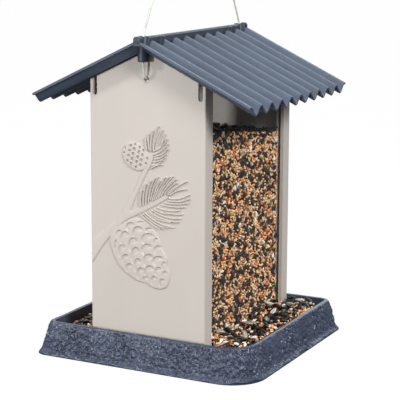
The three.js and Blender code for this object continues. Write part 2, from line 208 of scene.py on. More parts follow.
def prism(build, outline, start, end, axis="z"):
    """An outline raised along an axis: (x, y) along z or (x, z) along y."""
    low = [build.verts.new(place(u, v, start, axis)) for u, v in outline]
    high = [build.verts.new(place(u, v, end, axis)) for u, v in outline]
    faces = [build.faces.new(low[::-1]), build.faces.new(high)]
    for i in range(len(outline)):
        faces.append(build.faces.new((low[i - 1], low[i], high[i], high[i - 1])))
    bmesh.ops.recalc_face_normals(build, faces=faces)
    return faces


def lathe(build, profile, centre, sides=32, axis="z"):
    """A profile of (radius, height) points turned round an axis through centre; radius 0 closes it."""
    rings = []
    for radius, height in profile:
        turns = [2 * math.pi * i / sides for i in range(sides if radius else 1)]
        offsets = [place(radius * math.cos(t), radius * math.sin(t), height, axis) for t in turns]
        ring = [build.verts.new(Vector(centre) + Vector(offset)) for offset in offsets]
        rings.append(ring if radius else ring * sides)
    faces = []
    for below, above in zip(rings, rings[1:]):
        for i in range(sides):
            corners = list(dict.fromkeys((below[i - 1], below[i], above[i], above[i - 1])))
            if len(corners) > 2:
                faces.append(build.faces.new(corners))
    bmesh.ops.recalc_face_normals(build, faces=faces)


def drill(build, centre, radius, reach, sides, axis="z"):
    """A round cutter through centre, reach long each way."""
    lathe(build, [(0, -reach), (radius, -reach), (radius, reach), (0, reach)], centre, sides, axis)


def cut(mesh, cutter):
    """mesh minus cutter, both as meshes."""
    target, tool = (bpy.data.objects.new("cut", part) for part in (mesh, cutter))
    for item in (target, tool):
        bpy.context.collection.objects.link(item)
    change = target.modifiers.new("cut", "BOOLEAN")
    change.operation = "DIFFERENCE"
    change.solver = "EXACT"
    change.object = tool
    bpy.context.view_layer.update()
    graph = bpy.context.evaluated_depsgraph_get()
    result = bpy.data.meshes.new_from_object(target.evaluated_get(graph))
    for item in (target, tool):
        bpy.data.objects.remove(item)
    return result


def soften(piece, width, segments=2, angle=40):
    """Rounded edges where faces meet at more than angle."""
    edge = piece.modifiers.new("soft_edges", "BEVEL")
    edge.width = width * MM
    edge.segments = segments
    edge.limit_method = "ANGLE"
    edge.angle_limit = math.radians(angle)
    edge.harden_normals = True


def smooth_route(points, per_span=10):
    """A centripetal Catmull-Rom curve through the points."""
    def mix(p, q, start, end, t):
        return ((end - t) * p + (t - start) * q) / (end - start)

    points = np.array(points, float)
    ends = np.vstack([2 * points[0] - points[1], points, 2 * points[-1] - points[-2]])
    curve = []
    for p0, p1, p2, p3 in zip(ends, ends[1:], ends[2:], ends[3:]):
        t1, t2, t3 = np.cumsum([np.linalg.norm(q - p) ** 0.5 for p, q in ((p0, p1), (p1, p2), (p2, p3))])
        for t in np.linspace(t1, t2, per_span, endpoint=False):
            a1, a2, a3 = mix(p0, p1, 0, t1, t), mix(p1, p2, t1, t2, t), mix(p2, p3, t2, t3, t)
            curve.append(mix(mix(a1, a2, 0, t2, t), mix(a2, a3, t1, t3, t), t1, t2, t))
    return np.vstack([curve, points[-1:]])


def closed_curve(outline, per_side=6):
    """A closed outline with its corners rounded by a Catmull-Rom curve."""
    count = len(outline)
    wrapped = [(*outline[(i - 2) % count], 0) for i in range(count + 5)]
    return smooth_route(wrapped, per_side)[2 * per_side:-2 * per_side - 1, :2]


def blurred_noise(shape, sigma, seed):
    """A field of smooth random bumps with mean 0 and deviation 1; it wraps on both axes."""
    noise = np.random.default_rng(seed).standard_normal(shape)
    rows = np.fft.fftfreq(shape[0])[:, None]
    columns = np.fft.rfftfreq(shape[1])[None, :]
    keep = np.exp(-2 * math.pi**2 * ((rows * sigma[0]) ** 2 + (columns * sigma[1]) ** 2))
    field = np.fft.irfft2(np.fft.rfft2(noise) * keep, s=shape)
    return (field - field.mean()) / field.std()


def ease(value, low, high):
    """0 below low, 1 above high, smooth between."""
    share = np.clip((value - low) / (high - low), 0, 1)
    return share * share * (3 - 2 * share)


# ---- materials


def linear(red, green, blue):
    """An sRGB colour of 0 to 255 as linear RGBA."""
    channels = [value / 255 for value in (red, green, blue)]
    channels = [c / 12.92 if c <= 0.04045 else ((c + 0.055) / 1.055) ** 2.4 for c in channels]
    return (*channels, 1)


def plug(tree, socket, value):
    """Gives a socket a value, or links it to another node's output."""
    if hasattr(value, "is_output"):
        tree.links.new(value, socket)
    else:
        socket.default_value = value


def add_node(tree, kind, inputs=None, **settings):
    node = tree.nodes.new(kind)
    for key, value in settings.items():
        setattr(node, key, value)
    for key, value in (inputs or {}).items():
        plug(tree, node.inputs[key], value)
    return node


class Shader:
    """A Principled material and its nodes."""

    def __init__(self, name, roughness, **sockets):
        self.material = bpy.data.materials.new(name)
        self.material.use_nodes = True
        self.tree = self.material.node_tree
        self.surface = self.tree.nodes["Principled BSDF"]
        for socket, value in {"Roughness": roughness, **sockets}.items():
            self.set(socket.replace("_", " "), value)

    def set(self, socket, value):
        plug(self.tree, self.surface.inputs[socket], value)

    def node(self, kind, inputs=None, **settings):
        return add_node(self.tree, kind, inputs, **settings)

    def place(self, scale=(1, 1, 1)):
        """The piece's own coordinates in metres, stretched by scale."""
        coordinates = self.node("ShaderNodeTexCoord").outputs["Object"]
        return self.node("ShaderNodeMapping", {"Vector": coordinates, "Scale": scale}).outputs["Vector"]

    def noise(self, scale, detail=3.0, stretch=(1, 1, 1)):
        inputs = {"Vector": self.place(stretch), "Scale": scale, "Detail": detail, "Roughness": 0.55}
        return self.node("ShaderNodeTexNoise", inputs).outputs["Fac"]

    def colours(self, value, *stops):
        """The base colour by value: (position, sRGB colour) stops."""
        node = self.node("ShaderNodeValToRGB", {"Fac": value})
        elements = node.color_ramp.elements
        while len(elements) < len(stops):
            elements.new(0.5)
        for element, (position, colour) in zip(elements, stops):
            element.position = position
            element.color = linear(*colour)
        self.set("Base Color", node.outputs["Color"])

    def span(self, value, low, high):
        """value from 0 to 1 as low to high."""
        inputs = {"Value": value, "To Min": low, "To Max": high}
        return self.node("ShaderNodeMapRange", inputs).outputs["Result"]

    def bump(self, *layers):
        """Stacks (height, distance in metres, strength) layers of bump."""
        inputs = {}
        for height, distance, strength in layers:
            inputs.update({"Height": height, "Distance": distance, "Strength": strength})
            inputs["Normal"] = self.node("ShaderNodeBump", inputs).outputs["Normal"]
        self.set("Normal", inputs["Normal"])


def panel_plastic():
    """Taupe moulded plastic with a fine satin grain and faint flow marks."""
    shader = Shader("panel_plastic", 0.5, IOR=1.46)
    shader.colours(shader.noise(9, 4, (1, 1, 0.35)), (0.3, (187, 180, 172)), (0.7, (194, 187, 180)))
    shader.set("Roughness", shader.span(shader.noise(60), 0.42, 0.58))
    shader.bump((shader.noise(1500, 2), 0.0001, 0.25), (shader.noise(90, 3), 0.0003, 0.12))
    return shader.material


def roof_plastic(name, shade):
    """Blue-grey moulded plastic, satin, with a fine grain that runs along the waves."""
    shader = Shader(name, 0.38, IOR=1.46)
    # shade below 1 darkens both colours: painted shade, used for the ridge's copy
    dark, light = ([shade * c for c in colour] for colour in ((59, 71, 88), (70, 83, 102)))
    shader.colours(shader.noise(60, 4, (0.35, 1, 1)), (0.3, dark), (0.7, light))
    shader.set("Roughness", shader.span(shader.noise(160), 0.42, 0.54))
    ribbing = shader.noise(240, 3, (1, 0.5, 1))
    shader.bump((shader.noise(1300, 2), 0.00012, 0.35), (ribbing, 0.0003, 0.14))
    return shader.material


def tray_plastic():
    """Slate blue moulded plastic in uneven patches, with small glints."""
    shader = Shader("tray_plastic", 0.42, IOR=1.47)
    shader.colours(shader.noise(70, 5), (0.3, (46, 54, 72)), (0.7, (64, 73, 94)))
    shader.set("Roughness", shader.span(shader.noise(400, 2), 0.18, 0.38))
    shader.bump((shader.noise(700, 4), 0.0005, 0.6))
    return shader.material


def inner_plastic():
    """The tray's smooth inside, the same plastic without the stone grain."""
    shader = Shader("tray_inside_plastic", 0.45, IOR=1.47)
    shader.colours(shader.noise(50), (0.3, (58, 64, 78)), (0.7, (68, 75, 90)))
    shader.bump((shader.noise(900, 2), 0.00015, 0.3))
    return shader.material


def window_plastic():
    """Clear sheet: see-through, with a gloss that grows at a glancing angle and faint waves."""
    shader = Shader("window_clear", 0.06, IOR=1.49, Base_Color=linear(214, 220, 222))
    shader.bump((shader.noise(14, 2), 0.0006, 0.2))
    clear = shader.node("ShaderNodeBsdfTransparent", {"Color": (0.97, 0.975, 0.975, 1)})
    edge = shader.node("ShaderNodeLayerWeight", {"Blend": 0.12}).outputs["Fresnel"]
    back = shader.node("ShaderNodeNewGeometry").outputs["Backfacing"]
    inputs = {0: shader.span(edge, 0.01, 0.7), 1: back}
    gloss = shader.node("ShaderNodeMath", inputs, operation="SUBTRACT", use_clamp=True)
    inputs = {0: gloss.outputs["Value"], 1: clear.outputs["BSDF"], 2: shader.surface.outputs["BSDF"]}
    mix = shader.node("ShaderNodeMixShader", inputs).outputs["Shader"]
    plug(shader.tree, shader.tree.nodes["Material Output"].inputs["Surface"], mix)
    return shader.material


def cable_coating():
    """Twisted wire in a pale clear coat."""
    shader = Shader("cable_coating", 0.3, IOR=1.5, Coat_Weight=0.5, Coat_Roughness=0.12)
    shader.colours(shader.noise(180, 3), (0.35, (182, 193, 181)), (0.65, (214, 221, 210)))
    return shader.material


def crimp_metal():
    """Dull grey crimped sleeve."""
    shader = Shader("crimp_metal", 0.55, Metallic=1.0, Base_Color=linear(96, 98, 100))
    shader.bump((shader.noise(500, 3), 0.0001, 0.4))
    return shader.material


def steel():
    """Bright plated steel, faintly brushed."""
    shader = Shader("plated_steel", 0.3, Metallic=1.0)
    brushed = shader.noise(300, 4, (1, 1, 8))
    shader.colours(brushed, (0.3, (168, 170, 172)), (0.7, (205, 206, 207)))
    shader.set("Roughness", shader.span(brushed, 0.22, 0.42))
    shader.bump((brushed, 0.00005, 0.3))
    return shader.material


def seed_husk():
    """A seed's skin: its colour comes with the mesh, grain by grain, with fine mottling."""
    shader = Shader("seed_husk", 0.5, IOR=1.45)
    colour = shader.node("ShaderNodeAttribute", attribute_name="husk").outputs["Color"]
    inputs = {"Factor": 1.0, "A": colour, "B": shader.span(shader.noise(700, 3), 0.8, 1.32)}
    mixed = shader.node("ShaderNodeMix", inputs, data_type="RGBA", blend_type="MULTIPLY")
    shader.set("Base Color", mixed.outputs["Result"])
    shader.bump((shader.noise(1800, 2), 0.0002, 0.4))
    return shader.material


def packed_seed():
    """Packed seed in shadow: dark husks with a scatter of tan grains, the grains painted darker than the
    loose ones as shade.
    """
    shader = Shader("packed_seed", 0.7)
    cells = shader.node("ShaderNodeTexVoronoi", {"Vector": shader.place(), "Scale": 330.0})
    pick = shader.node("ShaderNodeSeparateColor", {"Color": cells.outputs["Color"]}).outputs["Red"]
    husks = (0.0, (34, 29, 27)), (0.55, (46, 38, 34))
    # these grains are painted darker than the loose grains: painted shade deep in the hopper
    grains = (0.66, (190, 150, 108)), (1.0, (214, 178, 136))
    shader.colours(pick, *husks, *grains)
    shader.bump((cells.outputs["Distance"], -0.0012, 0.8))
    return shader.material


MATERIALS = {
    "panel": panel_plastic(),
    "roof": roof_plastic("roof_plastic", 1.0),
    # the ridge's copy of the roof plastic is darker: painted shade on the ridge's walls, tubes, caps and
    # bosses
    "ridge": roof_plastic("ridge_plastic_painted_shade", 0.68),
    "tray": tray_plastic(),
    "inside": inner_plastic(),
    "window": window_plastic(),
    "cable": cable_coating(),
    "steel": steel(),
    "crimp": crimp_metal(),
    "husk": seed_husk(),
    "core": packed_seed(),
}

# ---- camera and cable


def add_camera():
    """The photograph's view: a long lens, a little above the eaves, off the front right corner."""
    lens = bpy.data.cameras.new("camera")
    lens.sensor_width = 36
    lens.lens = 125.06
    lens.shift_x, lens.shift_y = 0.0906, -0.0604
    lens.clip_start, lens.clip_end = 0.05, 200
    camera = bpy.data.objects.new("camera", lens)
    azimuth, elevation = math.radians(28.453), math.radians(10.03)
    x, y = turned(0, -math.cos(elevation), azimuth)
    camera.location = (0.6167, -1.2002, FOOT + 0.4061)
    camera.rotation_euler = Vector((x, y, math.sin(elevation))).to_track_quat("Z", "Y").to_euler()
    bpy.context.collection.objects.link(camera)
    bpy.context.scene.camera = camera


CABLE_SPLIT = 306.0  # where the strands end and the tails begin, in the roof's tubes
GAP = 0.3

# Routes in the plane of the ridge, as y and height; the tail's heights are above the panel's hole.
TAIL_RISE = [
    (-86.5, -0.6), (-90.5, -0.3), (-93.6, 0.2), (-96.4, 1.6), (-98.8, 4.4), (-100.6, 8.6), (-101.3, 13.2),
    (-101.2, 18), (-TUBE_Y, 24), (-TUBE_Y, 29),
]
TAIL_ROUTE = [(y, HOLE_HEIGHT + rise) for y, rise in TAIL_RISE] + [(-TUBE_Y, CABLE_SPLIT - GAP / 2)]

STRAND_ROUTE = [
    (-TUBE_Y, CABLE_SPLIT + GAP / 2), (-100.9, 309), (-100.1, 312.4), (-98.6, 315.9), (-90, 331.9),
    (-82, 346.3), (-72, 362), (-59.7, 378), (-47.1, 392), (-35, 404), (-24, 414), (-14.6, 422), (-8.4, 427),
    (-4.1, 430.7), (-2.2, 433.2), (-1.6, FERRULE_BOTTOM - GAP),
]


def loop_route():
    base, crown = FERRULE_TOP + GAP, HANG_HEIGHT + CABLE_RADIUS
    shares = [(-1.6, 0), (-2.2, 0.1), (-5.2, 0.32), (-8, 0.6), (-5.76, 0.88)]
    half = [(y, base + share * (crown - base)) for y, share in shares]
    return [*half, (0, crown), *[(-y, z) for y, z in reversed(half)]]


def capped_tube(name, rings):
    """A closed tube through rings of points."""
    rows, sides = rings.shape[:2]
    count = rows * sides
    points = np.vstack([rings.reshape(-1, 3), rings[0].mean(0), rings[-1].mean(0)])
    faces = quads(rows, sides, wrap=True).tolist()
    for i in range(sides):
        j = (i + 1) % sides
        faces += [(count, i, j), (count + 1, count - sides + i, count - sides + j)]
    mesh = bpy.data.meshes.new(name)
    mesh.from_pydata(in_frame(points).tolist(), [], faces)
    return joined(name, [mesh], outward=True)


def cable_tube(name, route):
    """A tube of twisted wire under a clear coat: its mesh, length and centre line."""
    sides, strands, lay = 20, 6, 7.0
    line = smooth_route([(0, y, z) for y, z in route], 12)
    ahead = np.gradient(line, axis=0)
    ahead /= np.linalg.norm(ahead, axis=1)[:, None]
    side = np.array([1.0, 0, 0])
    up = np.cross(side, ahead)[:, None, :]
    steps = np.linalg.norm(np.diff(line, axis=0), axis=1)
    along = np.concatenate([[0], np.cumsum(steps)])
    turn = 2 * math.pi * np.arange(sides) / sides
    twist = turn[None, :] + 2 * math.pi * along[:, None] / lay
    radius = CABLE_RADIUS * (0.975 + 0.025 * np.cos(strands * twist))
    across, high = ((radius * f(turn))[..., None] for f in (np.cos, np.sin))
    mesh = capped_tube(name, line[:, None, :] + across * side + high * up)
    shade(mesh, 50)
    return mesh, float(along[-1]) * MM, [tuple(p) for p in in_frame(line)]


def add_cable(name, route, node, body, with_pieces=()):
    mesh, length, path = cable_tube(name, route)
    piece = add_piece(name, mesh, "cable", body, node)
    return piece


def build_ferrule():
    """The crimped double sleeve: an oval tube pressed in at three places."""
    share = np.linspace(0, 1, 45)[:, None]
    turn = 2 * math.pi * np.arange(40)[None, :] / 40
    pressed = 0.08 * (1 - np.cos(2 * math.pi * 3 * share))
    rounded = 1 - 0.12 * np.clip(1 - 14 * np.minimum(share, 1 - share), 0, None) ** 2
    half_x, half_y = 2.2, 3.4
    x = half_x * (rounded - pressed) * np.cos(turn)
    y = half_y * (rounded + 0.02 - 0.3 * pressed) * np.sin(turn) / 1.02
    z = FERRULE_BOTTOM + share * (FERRULE_TOP - FERRULE_BOTTOM) + 0 * turn
    mesh = capped_tube("ferrule_sleeve", np.stack([x, y, z], -1))
    shade(mesh)
    return add_piece("ferrule_sleeve", mesh, "steel", "root", "cable_ferrule")


def build_cable():
    add_cable("hanging_loop", loop_route(), "cable_loop", "root", [build_ferrule()])
    for end, side in (("front", 1), ("rear", -1)):
        strand, tail = ([(side * y, z) for y, z in route] for route in (STRAND_ROUTE, TAIL_ROUTE))
        piece = add_cable(f"strand_{end}", strand, f"cable_strand_{end}", "root")
        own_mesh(piece)
        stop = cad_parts[f"cable_stop_{end}"]
        piece = add_cable(f"tail_{end}", tail, f"cable_tail_{end}", None, [stop])
        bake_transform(piece)


# ---- roof


def wave_line(steps):
    """The sheet's middle line across the waves as (y, drop) points, with a flat lip at each rake."""
    lip = 2.2
    half = ROOF_HIGH[1]
    phase = np.arange(steps + 1) / steps
    y = (half - lip) * (2 * phase - 1)
    drop = -WAVE_DEPTH / 2 * (1 - np.cos(2 * math.pi * WAVES * phase))
    y = np.concatenate([[-half, -half + lip / 2], y, [half - lip / 2, half]])
    return y, np.concatenate([[0, 0], drop, [0, 0]])


def corrugated_sheet():
    """The double slope as one sheet of even thickness, its waves falling straight to the eaves."""
    lean = math.sqrt(1 + PITCH**2)
    edge = ROOF_HIGH[0] - SHEET / 2 * PITCH / lean
    softening, thin = 0.35, 0.62
    y, drop = wave_line(WAVES * 28)
    columns = np.array([-edge, -edge + softening, -edge / 2, -4, 0, 4, edge / 2, edge - softening, edge])
    thickness = np.array([thin, 1, 1, 1, 1, 1, 1, 1, thin]) * SHEET / 2
    slope = np.gradient(drop, y)
    steep = np.sqrt(1 + slope**2 + PITCH**2)
    middle = CREST - SHEET / 2 * lean
    layers = []
    for face in (1, -1):
        offset = face * thickness[None, :] / steep[:, None]
        x = columns[None, :] + offset * PITCH * np.sign(columns)[None, :]
        across = y[:, None] - offset * slope[:, None]
        z = middle - PITCH * np.abs(columns)[None, :] + drop[:, None] + offset
        layers.append(np.stack([x, across, z], -1).reshape(-1, 3))
    rows, count = len(y), len(columns)
    layer = rows * count
    flat = quads(rows, count)
    faces = [flat, flat[:, ::-1] + layer]
    r, c = np.arange(rows - 1) * count, np.arange(count - 1)
    last_row, last_column = (rows - 1) * count, count - 1
    borders = [
        (r, r + count), (r + count + last_column, r + last_column),
        (c + 1, c), (last_row + c, last_row + c + 1),
    ]
    for start, end in borders:
        faces.append(np.stack([start, end, end + layer, start + layer], 1)[:, ::-1])
    sheet = grid_mesh("corrugated_sheet", np.vstack(layers), np.vstack(faces))
    return joined("corrugated_sheet", [sheet], outward=True)


def ridge_spine():
    """The inverted channel along the ridge."""
    channel = SPINE_HALF - SPINE_WALL
    spine = mirrored([
        (channel, SPINE_TOP - SPINE_WALL), (channel, SPINE_FOOT), (SPINE_HALF, SPINE_FOOT),
        (SPINE_HALF, SPINE_TOP - 1.4), (SPINE_HALF - 1.2, SPINE_TOP),
    ])
    ridge = bmesh.new()
    prism(ridge, spine, 2 - ROOF_HIGH[1], ROOF_HIGH[1] - 2, "y")
    return from_bmesh("spine", ridge)


def ridge_fittings():
    """The skirt walls under the ridge, and at each end a cap, a tube for the cable and a boss."""
    build = bmesh.new()
    for low, high in ((-SPINE_HALF, SPINE_WALL - SPINE_HALF), (SPINE_HALF - SPINE_WALL, SPINE_HALF)):
        prism(build, block(low, high, 298.3, 304), 6 - TUBE_Y, TUBE_Y - 6, "y")
    cap = mirrored([(3.5, SPINE_FOOT), (3.5, SPINE_TOP - 1), (1.9, SPINE_TOP + 0.8)])
    tube = [
        (2.6, TUBE_BOTTOM + 0.6), (2.9, TUBE_BOTTOM), (4.7, TUBE_BOTTOM), (TUBE_RADIUS, TUBE_BOTTOM + 0.7),
        (TUBE_RADIUS, 310.8), (5, 311.4), (4.5, 311.4), (2.6, 304), (2.6, TUBE_BOTTOM + 0.6),
    ]
    boss = [
        (0, 300), (2.4, 300), (2.4, 290), (4.8, 290), (TUBE_RADIUS, 290.6), (TUBE_RADIUS, 309.6),
        (4.6, 310.4), (0, 310.6),
    ]
    for end in (-1, 1):
        low, high = sorted((end * (ROOF_HIGH[1] - 3), end * ROOF_HIGH[1]))
        prism(build, cap, low, high, "y")
        lathe(build, tube, (0, end * TUBE_Y, 0), 40)
        lathe(build, boss, (0, end * BOSS_Y, 0), 40)
    return from_bmesh("ridge_fittings", build)


def build_roof():
    """One moulding: the bored sheet and spine with the fittings; all but the sheet takes a darker copy of
    the plastic, painted shade on the ridge.
    """
    bores = bmesh.new()
    for end in (-1, 1):
        drill(bores, (0, end * TUBE_Y, 300), BORE_RADIUS, 30, 40)
    bores = from_bmesh("bores", bores)
    sheet = cut(corrugated_sheet(), bores.copy())
    mesh = joined("roof_shell", [sheet, cut(ridge_spine(), bores), ridge_fittings()])
    shade(mesh, 36)
    add_piece("roof_shell", mesh, "roof", "roof", "roof")
    # the ridge parts take the darker copy of the plastic: painted shade
    mesh.materials.append(MATERIALS["ridge"])
    for face in mesh.polygons[len(sheet.polygons):]:
        face.material_index = 1


# ---- end panels

# Outlines of the sprig on the panel, as x and height.
BRANCH = [
    (-62, 91.5), (-48, 110), (-36, 124.5), (-27, 133.5), (-20, 139), (-8, 145), (4, 151.5), (16, 158.5),
    (22.5, 163), (22.6, 166), (18, 165.6), (2, 157.5), (-8, 152.6), (-16.4, 147.4), (-14, 155),
    (-6.4, 171), (1, 186), (5.6, 194), (7.4, 203), (4.4, 204.8), (1.5, 197), (-4, 187), (-12, 170.5),
    (-20, 157), (-30, 141.5), (-40, 131), (-62, 110.5),
]

BIG_CONE = [
    (-15, 140.6), (-26, 134.8), (-38, 124.8), (-40, 118), (-36.2, 104.5), (-30, 94.2), (-21, 87),
    (-12, 82), (-7, 80.6), (0.5, 79.6), (4.6, 77.4), (10, 76), (16, 76.2), (20.6, 78.4), (24, 84.6),
    (24.4, 92), (21.8, 99.5), (21.8, 105), (19.4, 110.4), (16.4, 114.4), (14.6, 121), (10.4, 128.6),
    (4.6, 135.8), (-2, 140.2), (-8, 141.4),
]

SMALL_CONE = [
    (-13, 213.4), (-19, 212.8), (-23.6, 208.4), (-25.3, 202), (-23.6, 195), (-18.6, 190), (-13.6, 187.4),
    (-9, 186), (-3.6, 187), (0.6, 190.6), (3, 196), (3.6, 203), (-1.4, 208.4), (-7.2, 212.2),
]

# The hollows between the cone's scales: the left, bottom, right and top of each.
SCALES = [
    (-22, 130, -14.5, 136.5), (-9.5, 136.4, -4, 138.6), (-1, 130, 5, 133.5), (-33, 123, -28, 128),
    (-35, 111.5, -32.6, 118), (-28.5, 117, -20.5, 127.5), (-15, 124.5, -6.5, 133.5),
    (-5.5, 119.5, 5, 128), (8, 120, 11.5, 124.5), (-19.5, 112, -11, 122.5), (-30.5, 105, -24, 114.5),
    (-5.5, 109.5, 3.5, 118), (8, 111.5, 14.5, 117.5), (-16.5, 102, -9.5, 113.5),
    (-26.5, 98.5, -20.5, 105.5), (-3.5, 98.5, 5, 108.5), (6.5, 100.5, 16, 107.5), (-13.5, 93.5, -7, 103),
    (-22.5, 90.5, -17, 97), (16.2, 97.5, 19.2, 102.5), (-2.5, 88.5, 6, 97.5), (-10.5, 86, -4.5, 94.5),
    (9, 90.5, 14.5, 97), (16.5, 88.6, 20.5, 93.8), (-4.5, 81.6, 1, 86.6), (4.5, 81.5, 9.5, 88),
    (13.5, 80.6, 18, 86.5),
]

# Each needle: its foot and its tip on the panel as x and z, and how far its middle bows out to the left.
NEEDLES = [
    (0.6, 207, -1.2, 217.6, 0.2), (3.2, 206.5, 2.8, 221.8, 0.6), (5, 206, 7.2, 225, 1.4),
    (7.6, 207, 13.2, 229.4, 1.8), (10.4, 209, 16.8, 226, 0.8), (8, 206, 19.8, 222.8, -2.4),
    (10, 207, 21.8, 218.2, -1.6), (8, 203, 22.8, 213.6, -1.4), (9.4, 201.4, 22.8, 209, -1.2),
    (9, 198.6, 20.6, 203.8, -0.8), (7.6, 195.8, 19.4, 200.6, -0.8), (6.4, 192.8, 17.6, 198.4, -1),
    (5.4, 189.8, 16, 194.4, 0.6),
    (-6.4, 153, -4.6, 168, 0.8), (-3.4, 154, -0.4, 174.6, 0.9), (-0.4, 155.4, 4.6, 178.2, 1.4),
    (2.4, 156.8, 9, 180.6, 1.6), (4.6, 160, 12.4, 182.4, 1.2), (6.4, 159, 14.6, 178.6, 1),
    (8.6, 160.4, 20, 182.6, 1.4), (10.8, 161.6, 24.4, 183.6, 1.6), (13, 163, 28.2, 184.2, 1.6),
    (15.6, 164.6, 31.6, 181.6, 1.6), (19, 166, 32.4, 178.4, 1.4), (23, 166.8, 42.4, 180.6, 1.2),
    (25, 166.4, 41.6, 173.4, 1.4),
    (24, 163.4, 44.6, 168.4, -1.8), (23, 161, 44.8, 164.4, -1.4), (19.4, 158.8, 43.4, 160.6, -1),
    (16.4, 156.6, 39.8, 156.6, -0.8), (12, 153.8, 34.6, 152.8, -1.4), (20.6, 150.2, 38, 149.8, -1),
    (8.6, 151.8, 28, 149.4, -1.8), (6.4, 150.4, 35.8, 145.4, -2.2), (3.2, 149, 33.8, 142, -2.4),
    (11.6, 142.8, 26, 141, -0.4), (-0.6, 147, 28.4, 136.4, -2.4), (-3, 146.2, 20.4, 134.6, -1.4),
    (-5.2, 145, 14.4, 133.8, -1.2),
]


def inside_distance(x, z, outline):
    """Distance to a closed outline, positive inside it."""
    nearest = np.full(x.shape, np.inf)
    inside = np.zeros(x.shape, bool)
    for (ax, az), (bx, bz) in zip(outline, np.roll(outline, -1, axis=0)):
        nearest = np.minimum(nearest, stretch_distance(x, z, (ax, az), (bx, bz))[0])
        if abs(bz - az) > 1e-9:
            crosses = (az <= z) != (bz <= z)
            inside ^= crosses & (x < ax + (z - az) * (bx - ax) / (bz - az))
    return np.where(inside, nearest, -nearest)


def raised(distance, height, edge, dome):
    """A raised area with a steep soft edge and a slightly domed top."""
    top = height * ease(distance, -0.1, edge) + dome * np.clip(distance, 0, 12)
    return top - 0.4 * (distance < -0.1)


def stretch_distance(x, z, start, end):
    """Distance to a straight stretch, and the nearest point's share of the way along it."""
    (ax, az), (bx, bz) = start, end
    ex, ez = bx - ax, bz - az
    share = np.clip(((x - ax) * ex + (z - az) * ez) / max(ex * ex + ez * ez, 1e-9), 0, 1)
    return np.hypot(x - ax - share * ex, z - az - share * ez), share


def big_cone_height(x, z):
    """A cone with a hollow above each scale: a sharp arc at its upper left, level at its lower right."""
    height = raised(inside_distance(x, z, closed_curve(BIG_CONE)), 0.95, 0.8, 0.04)
    for left, bottom, right, top in SCALES:
        wide, tall = right - left, top - bottom
        u = (x - (right - 0.24 * wide)) / (0.76 * wide)
        v = (z - (bottom + 0.24 * tall)) / (0.76 * tall)
        facing = np.cos(np.arctan2(v, u) - math.radians(138))
        edge = 0.45 / min(wide, tall)
        floor = 1 - ease(np.hypot(u, v), 1 - edge, 1 + edge)
        ramp = ease(np.hypot(u - 0.5, v + 0.5) / 0.98, 1 - 1.6 * edge, 1 + 1.6 * edge)
        depth = min(0.8 + 0.05 * min(wide, tall), 1.15)
        height = height - depth * floor * ramp * ease(facing, -0.25, 0.35)
    return height


def small_cone_height(x, z):
    """A young cone: a round bun with rows of short deep pits."""
    height = raised(inside_distance(x, z, closed_curve(SMALL_CONE)), 1.25, 0.9, 0.06)
    for column in range(7):
        for row in range(7):
            cx = -24.6 + 4.9 * column - 1.1 * (row - 3)
            cz = 211.8 - 4.7 * row - 2.3 * (column % 2) - 0.3 * column
            room = float(inside_distance(np.array([cx]), np.array([cz]), SMALL_CONE)[0])
            if room > 1:
                size = min(1.0, 0.35 + 0.16 * room)
                lean = math.radians(60 + 8 * (column - 3) * (1 if row < 3 else -1))
                along, across = turned(x - cx, z - cz, -lean)
                pit = 1 - ease(np.hypot(along / (1.95 * size), across / (1.4 * size)), 0.75, 1.1)
                height = height - 1.7 * pit
    return height


def needle_height(x, z, x0, z0, x1, z1, bow):
    """A slim curved ridge that thins towards its tip."""
    length = math.hypot(x1 - x0, z1 - z0)
    side = np.array([-(z1 - z0), x1 - x0]) / length
    spans = 7
    share = np.arange(spans + 1)[:, None] / spans
    line = np.array([x0, z0]) + np.array([x1 - x0, z1 - z0]) * share + side * 4 * bow * share * (1 - share)
    best = np.full(x.shape, -1.0)
    for i, (start, end) in enumerate(zip(line, line[1:])):
        away, at = stretch_distance(x, z, start, end)
        half = 1.02 - 0.42 * ((i + at) / spans) ** 2
        best = np.maximum(best, 1 - (away / half) ** 3)
    return np.maximum(best, -0.5) * 1.9


def relief_height(x, z):
    """Height of the pine sprig above the panel's face; below zero where the face is bare."""
    height = raised(inside_distance(x, z, closed_curve(BRANCH, 4)), 0.95, 0.8, 0.03)
    height = np.maximum(height, big_cone_height(x, z))
    height = np.maximum(height, small_cone_height(x, z))
    margin = 5
    for needle in NEEDLES:
        x0, z0, x1, z1, _ = needle
        near = (x > min(x0, x1) - margin) & (x < max(x0, x1) + margin)
        near &= (z > min(z0, z1) - margin) & (z < max(z0, z1) + margin)
        height[near] = np.maximum(height[near], needle_height(x[near], z[near], *needle))
    return height


def relief_sheet():
    """The raised cells of the sprig on a fine grid; their rim dips just under the panel's face."""
    cell, sunk = 0.36, 0.12
    x, z = np.meshgrid(np.arange(-HALF_PANEL + 1.2, 46, cell), np.arange(74, 232, cell))
    height = relief_height(x, z)
    points = np.stack([x, -FACE - np.clip(height, -sunk, None), z], -1).reshape(-1, 3)
    faces = quads(*x.shape)[:, ::-1]
    shown = (height.ravel()[faces] > -sunk).any(1)
    used, index = np.unique(faces[shown], return_inverse=True)
    mesh = grid_mesh("panel_relief", points[used], index.reshape(-1, 4))
    shade(mesh, 60)
    return mesh


def panel_outline():
    """The panel's plan section with a rounded outer corner, its returns and the window grooves' ribs."""
    edge = 0.9
    groove_out, groove_in = SLOT_X + 1.7, SLOT_X - 1.7
    corner = []
    for i in range(6):
        x, y = turned(0, -edge, math.radians(18 * i))
        corner.append((HALF_PANEL - edge + x, -FACE + edge + y))
    return mirrored([
        *corner,
        (HALF_PANEL, -FACE + RETURN_DEPTH), (groove_out, -FACE + RETURN_DEPTH),
        (groove_out, -INNER_FACE), (groove_in, -INNER_FACE), (groove_in, -INNER_FACE + 10),
        (groove_in - 2, -INNER_FACE + 10), (groove_in - 2, -INNER_FACE),
    ])


